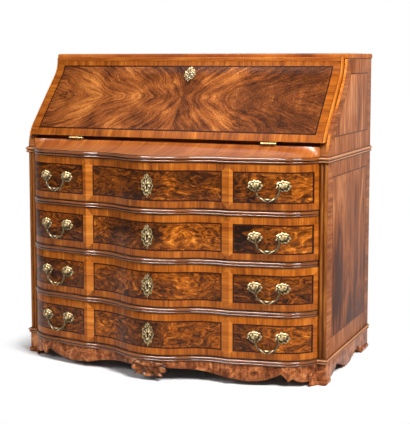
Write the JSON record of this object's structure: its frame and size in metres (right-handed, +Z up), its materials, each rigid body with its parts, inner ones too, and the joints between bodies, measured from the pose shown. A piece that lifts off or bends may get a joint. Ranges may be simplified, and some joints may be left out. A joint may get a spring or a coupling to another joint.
{
  "type": "slant-front bureau",
  "caption": "Slant-front bureau with a serpentine chest of long drawers, an S-curved hinged fall over a writing bed and small gallery, brass bail handles and shaped aprons.",
  "frame": {"origin": "middle of the plan at floor level", "axes": "+X along the front to the right as seen from the front, +Y to the back, +Z up"},
  "size_m": [1.129, 0.716, 1.08],
  "materials": {
    "walnut": "waxed walnut veneer",
    "burl": "french-polished burr walnut veneer with crossbanding",
    "moulding": "dark polished moulding",
    "oak": "plain unpolished oak",
    "brass": "antique cast brass",
    "steel": "dull old lock steel"
  },
  "bodies": {
    "carcass": {"side_left": "walnut", "side_right": "walnut", "top_board": "walnut", "back_planks": "oak", "bottom_board": "oak", "dust_boards": "oak", "writing_bed": "walnut", "frieze_front": "walnut", "waist_moulding": "moulding", "drawer_rails": "moulding", "base_moulding": "moulding", "corner_stiles": "moulding", "apron_front": "walnut", "apron_sides": "walnut", "apron_pendant": "moulding", "foot_blocks": "oak", "foot_plinths": "moulding", "gallery": "walnut", "hinge_bed_leaves": "brass"},
    "fall": {"fall_board": "burl", "fall_hinge_leaves": "brass", "fall_escutcheon": "brass", "fall_lock": "steel"},
    "fall_bolt": {"fall_lock_bolt": "steel"},
    "drawer_1": {"drawer_1_front": "burl", "drawer_1_box": "oak", "drawer_1_escutcheon": "brass", "drawer_1_roses": "brass", "drawer_1_lock": "steel"},
    "drawer_1_bolt": {"drawer_1_lock_bolt": "steel"},
    "drawer_1_bail_right": {"drawer_1_bail_right": "brass"},
    "drawer_1_bail_left": {"drawer_1_bail_left": "brass"},
    "drawer_2": {"drawer_2_front": "burl", "drawer_2_box": "oak", "drawer_2_escutcheon": "brass", "drawer_2_roses": "brass", "drawer_2_lock": "steel"},
    "drawer_2_bolt": {"drawer_2_lock_bolt": "steel"},
    "drawer_2_bail_right": {"drawer_2_bail_right": "brass"},
    "drawer_2_bail_left": {"drawer_2_bail_left": "brass"},
    "drawer_3": {"drawer_3_front": "burl", "drawer_3_box": "oak", "drawer_3_escutcheon": "brass", "drawer_3_roses": "brass", "drawer_3_lock": "steel"},
    "drawer_3_bolt": {"drawer_3_lock_bolt": "steel"},
    "drawer_3_bail_right": {"drawer_3_bail_right": "brass"},
    "drawer_3_bail_left": {"drawer_3_bail_left": "brass"},
    "drawer_4": {"drawer_4_front": "burl", "drawer_4_box": "oak", "drawer_4_escutcheon": "brass", "drawer_4_roses": "brass", "drawer_4_lock": "steel"},
    "drawer_4_bolt": {"drawer_4_lock_bolt": "steel"},
    "drawer_4_bail_right": {"drawer_4_bail_right": "brass"},
    "drawer_4_bail_left": {"drawer_4_bail_left": "brass"},
    "inner_drawer_right": {"inner_drawer_right": "walnut"},
    "inner_drawer_left": {"inner_drawer_left": "walnut"}
  },
  "joints": [
    {"name": "fall_hinge", "type": "hinge", "parent": "carcass", "child": "fall", "pos_m": [0, -0.18419, 0.787], "axis": [1, 0, 0], "range_deg": [0, 120]},
    {"name": "fall_bolt_slide", "type": "slide", "parent": "fall", "child": "fall_bolt", "axis": [0, 0, 1], "range_m": [0, 0.008]},
    {"name": "drawer_1_slide", "type": "slide", "parent": "carcass", "child": "drawer_1", "axis": [0, -1, 0], "range_m": [0, 0.33]},
    {"name": "drawer_1_bolt_slide", "type": "slide", "parent": "drawer_1", "child": "drawer_1_bolt", "axis": [0, 0, 1], "range_m": [0, 0.008]},
    {"name": "drawer_1_bail_right_swing", "type": "hinge", "parent": "drawer_1", "child": "drawer_1_bail_right", "pos_m": [0.39041, -0.27791, 0.658], "axis": [-0.9851, -0.1722, 0], "range_deg": [0, 75]},
    {"name": "drawer_1_bail_left_swing", "type": "hinge", "parent": "drawer_1", "child": "drawer_1_bail_left", "pos_m": [-0.39041, -0.27791, 0.658], "axis": [-0.9851, 0.1722, 0], "range_deg": [0, 75]},
    {"name": "drawer_2_slide", "type": "slide", "parent": "carcass", "child": "drawer_2", "axis": [0, -1, 0], "range_m": [0, 0.33]},
    {"name": "drawer_2_bolt_slide", "type": "slide", "parent": "drawer_2", "child": "drawer_2_bolt", "axis": [0, 0, 1], "range_m": [0, 0.008]},
    {"name": "drawer_2_bail_right_swing", "type": "hinge", "parent": "drawer_2", "child": "drawer_2_bail_right", "pos_m": [0.39041, -0.27791, 0.491], "axis": [-0.9851, -0.1722, 0], "range_deg": [0, 75]},
    {"name": "drawer_2_bail_left_swing", "type": "hinge", "parent": "drawer_2", "child": "drawer_2_bail_left", "pos_m": [-0.39041, -0.27791, 0.491], "axis": [-0.9851, 0.1722, 0], "range_deg": [0, 75]},
    {"name": "drawer_3_slide", "type": "slide", "parent": "carcass", "child": "drawer_3", "axis": [0, -1, 0], "range_m": [0, 0.33]},
    {"name": "drawer_3_bolt_slide", "type": "slide", "parent": "drawer_3", "child": "drawer_3_bolt", "axis": [0, 0, 1], "range_m": [0, 0.008]},
    {"name": "drawer_3_bail_right_swing", "type": "hinge", "parent": "drawer_3", "child": "drawer_3_bail_right", "pos_m": [0.39041, -0.27791, 0.3275], "axis": [-0.9851, -0.1722, 0], "range_deg": [0, 75]},
    {"name": "drawer_3_bail_left_swing", "type": "hinge", "parent": "drawer_3", "child": "drawer_3_bail_left", "pos_m": [-0.39041, -0.27791, 0.3275], "axis": [-0.9851, 0.1722, 0], "range_deg": [0, 75]},
    {"name": "drawer_4_slide", "type": "slide", "parent": "carcass", "child": "drawer_4", "axis": [0, -1, 0], "range_m": [0, 0.33]},
    {"name": "drawer_4_bolt_slide", "type": "slide", "parent": "drawer_4", "child": "drawer_4_bolt", "axis": [0, 0, 1], "range_m": [0, 0.008]},
    {"name": "drawer_4_bail_right_swing", "type": "hinge", "parent": "drawer_4", "child": "drawer_4_bail_right", "pos_m": [0.39041, -0.27791, 0.1655], "axis": [-0.9851, -0.1722, 0], "range_deg": [0, 75]},
    {"name": "drawer_4_bail_left_swing", "type": "hinge", "parent": "drawer_4", "child": "drawer_4_bail_left", "pos_m": [-0.39041, -0.27791, 0.1655], "axis": [-0.9851, 0.1722, 0], "range_deg": [0, 75]},
    {"name": "inner_drawer_right_slide", "type": "slide", "parent": "carcass", "child": "inner_drawer_right", "axis": [0, -1, 0], "range_m": [0, 0.12]},
    {"name": "inner_drawer_left_slide", "type": "slide", "parent": "carcass", "child": "inner_drawer_left", "axis": [0, -1, 0], "range_m": [0, 0.12]}
  ]
}
